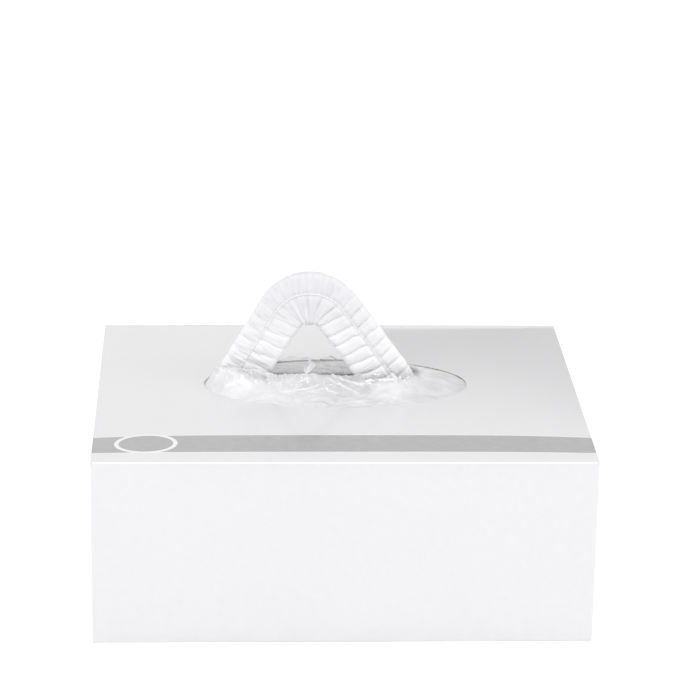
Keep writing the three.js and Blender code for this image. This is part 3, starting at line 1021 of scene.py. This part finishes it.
def film_looks(spot, point, height, sharp, fans):
    """How much painted highlight the film's creases get, how milky the film is and how much painted shade
    it gets at a spot that stands so high.
    """
    x, y, _ = point
    share, front, standing = spot.share, spot.front, spot.standing
    limb = over_limb(spot.lip_x)
    raised = standing * smoothstep(1.5 * MM, 4 * MM, height)
    upper = smoothstep(5 * MM, 9 * MM, height)
    # Painted highlights: white glints on the lip's edge, sparkles near the front lip, and white lines along
    # the folds and ridges
    edge_glints = smoothstep(-0.05, 0.3, random_wave(spot.lip_x / (4 * MM), spot.sine * 4, 31))
    edge = smoothstep(0.975, 0.995, share) * mix(0.8, 0.45, front * limb) * (1 - standing)
    edge = edge_glints * (edge + smoothstep(0.996, 0.999, share) * standing)
    sparkle = smoothstep(0.42, 0.52, noise.noise(Vector(point) / (1.3 * MM)))
    sparkle *= front * smoothstep(0.62, 0.75, share) * (1 - spot.calm)
    crease_highlight = max(sharp, 0.6 * fans ** 2 * (1 - raised), edge, sparkle)
    clear_front = mix(0.5, 0.7, smoothstep(-30 * MM, 0, x)) * front * limb * smoothstep(0.74, 0.92, share)
    clear_back = 0.12 * (1 - front) * mix(0.25, 1, near(x, -10 * MM, 20 * MM, 30 * MM))
    milk = FILM_MILK * (1 - clear_front) * (1 - clear_back)
    milk = mix(milk, 0.97, smoothstep(0.4, 0.9, share) * (1 - front) * (1 - raised))
    milk = mix(milk, mix(0.3, 0.14, upper), raised)
    # Painted shade: darker across the middle front, towards the right end, near the lip between the limbs,
    # on the standing back lip's upper part and on the front lip between the limbs
    shade = 0.4 * front * smoothstep(-28 * MM, -6 * MM, x)
    shade += 0.75 * smoothstep(mix(44 * MM, 25 * MM, front), 62 * MM, x)
    shade += 0.4 * front * near(x, -4 * MM, 18 * MM, 26 * MM) * smoothstep(-20 * MM, -10 * MM, y)
    shade = max(shade, 0.7 * raised * upper, 0.7 * front * (1 - limb) * smoothstep(0.75, 1.0, share))
    return {"crease_highlight": min(crease_highlight, 1.0), "milk": milk, "shade": shade}


def film_point(angle, share):
    """A place on the film, and the painted highlight along its creases, how milky it is and its painted
    shade there.
    """
    radians = math.radians(angle)
    cosine, sine = math.cos(radians), math.sin(radians)
    rim_x = OPENING["x"] + OPENING["half_x"] * cosine
    rim_y = OPENING["y"] - OPENING["half_y"] * sine
    if share <= 0:
        x, y = rim_x - FILM_MARGIN * share * cosine, rim_y + FILM_MARGIN * share * sine
        return Vector((x, y, top_plane(x, y))), {"crease_highlight": 0.0, "milk": FILM_MILK, "shade": 0.0}
    lip_x = LIP_MIDDLE_X + LIP_HALF * cosine
    lip_y = STRIP_Y + lip_row(angle, "behind") * MM
    x, y = mix(rim_x, lip_x, share), mix(rim_y, lip_y, share)
    front = smoothstep(-0.2, 0.2, sine)
    standing = (1 - front) * near(x, GAP_MIDDLE, GAP_INNER, GAP_OUTER)
    calm = smoothstep(34 * MM, 44 * MM, x)
    spot = Spot(angle, sine, share, lip_x, x, y, front, standing, calm)
    base = top_plane(x, y)
    free = smoothstep(0.0, 0.12, share)
    rise, sharp = fold_height(x / MM, y / MM)
    fans = ridges(angle, share, 4.5, 3) * 0.6 + ridges(angle, share, 9, 17) * 0.4
    fans *= smoothstep(0.1, 0.7, share) * (1 - calm)
    z = film_rise(spot, base) + free * (rise + (0.5 * fans + dents(spot)) * MM)
    curl = smoothstep(0.93, 1.0, share) * (0.5 + 0.5 * lip_waver(spot)) * MM
    y -= math.copysign(1, sine) * curl
    y += standing * smoothstep(0.8, 1.0, share) * 1.6 * MM * random_wave(x / (4 * MM), z / (7 * MM), 21)
    point = (x, y, z)
    return Vector(point), film_looks(spot, point, z - base, sharp * free, fans)


def torn_flap():
    steps = 12
    corners = {name: Vector(corner) * MM for name, corner in TORN_FLAP.items()}

    def place(column, row):
        first, second = column / steps, row / steps
        near = corners["foot"].lerp(corners["left"], first)
        far = corners["right"].lerp(corners["tip"], first)
        point = near.lerp(far, second)
        belly = math.sin(math.pi * first) * math.sin(math.pi * second)
        point.y += TORN_BELLY * (belly - 0.6 * noise.noise(point * 400))
        # Painted highlights on the flap's edge and along its fold line
        on_edge = min(first, second, 1 - first, 1 - second) < 0.06
        folded = math.exp(-((first - 0.35 - 0.2 * second) / 0.08) ** 2)
        looks = {"crease_highlight": max(0.9 * on_edge, folded), "milk": 0.75, "shade": 0.0}
        return point, (point.x / MM, point.z / MM), looks

    return shaped_grid(steps, steps, place)


def film_window(film):
    columns, flange_rows, rows = 900, 6, 104

    def place(column, row):
        share = (row - flange_rows) / flange_rows
        if share > 0:
            share = 1 - (1 - (row - flange_rows) / (rows - flange_rows)) ** LIP_CROWDING
        point, looks = film_point(360 * column / columns, share)
        return point, (point.x / MM, point.y / MM), looks

    flap = torn_flap()
    sheet = shaped_grid(columns, rows, place, closed=True)
    flap.select_set(True)
    bpy.ops.object.join()
    finish_piece(sheet, "poly_film", [film], 40)
    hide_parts("film_window")
    return sheet


BACKDROP = {"place": (0.62, 1.3, 0.46), "size": (1.1, 0.2, 1)}


def add_stage():
    """The floor, the lights and a dark card, which the varnish mirrors as the top panel's shade."""
    deselect_all()
    bpy.ops.mesh.primitive_plane_add(size=8, location=(0, 0, 0))
    floor = bpy.context.object
    floor.name = "floor"
    floor.data.materials.append(floor_finish())
    upright = (math.radians(90), 0, 0)
    bpy.ops.mesh.primitive_plane_add(size=1, location=BACKDROP["place"], rotation=upright)
    backdrop = bpy.context.object
    backdrop.scale = BACKDROP["size"]
    backdrop.name = "dark_backdrop"
    backdrop.data.materials.append(Finish("dark_backdrop", Base_Color=grey(0.04), Roughness=0.9).material)
    world = bpy.data.worlds.new("studio")
    world.use_nodes = True
    background = world.node_tree.nodes["Background"]
    background.inputs["Color"].default_value = (1, 1, 1, 1)
    background.inputs["Strength"].default_value = 0.92
    bpy.context.scene.world = world
    bpy.context.scene.view_settings.view_transform = "Standard"
    for row in LIGHTS:
        add_area_light(row)


add_camera()
add_stage()
spunbond = nonwoven_finish()
yarn_finish = elastic_finish()
coated = board_finish()
pulp = board_inside_finish()
cut_board = board_core_finish()
web = pleated_cap(spunbond)
seams = [
    elastic("front_seam", "front_elastic", -1, yarn_finish),
    elastic("back_seam", "back_elastic", 1, yarn_finish),
]
carton_sleeve(coated, pulp, cut_board)
for flap_node in ("left_upper_flap", "left_lower_flap", "right_upper_flap", "right_lower_flap"):
    end_flap(flap_node, coated, pulp, cut_board)
film_sheet = film_window(film_finish())
flat_web = (web_section()[-1]["path"], STRIP_LENGTH * GATHER_RATIO)
flat_film = (2 * (OPENING["half_x"] + FILM_MARGIN), 2 * (OPENING["half_y"] + FILM_MARGIN))
oval_share = math.pi / 4
flat_film[0] * flat_film[1] * oval_share
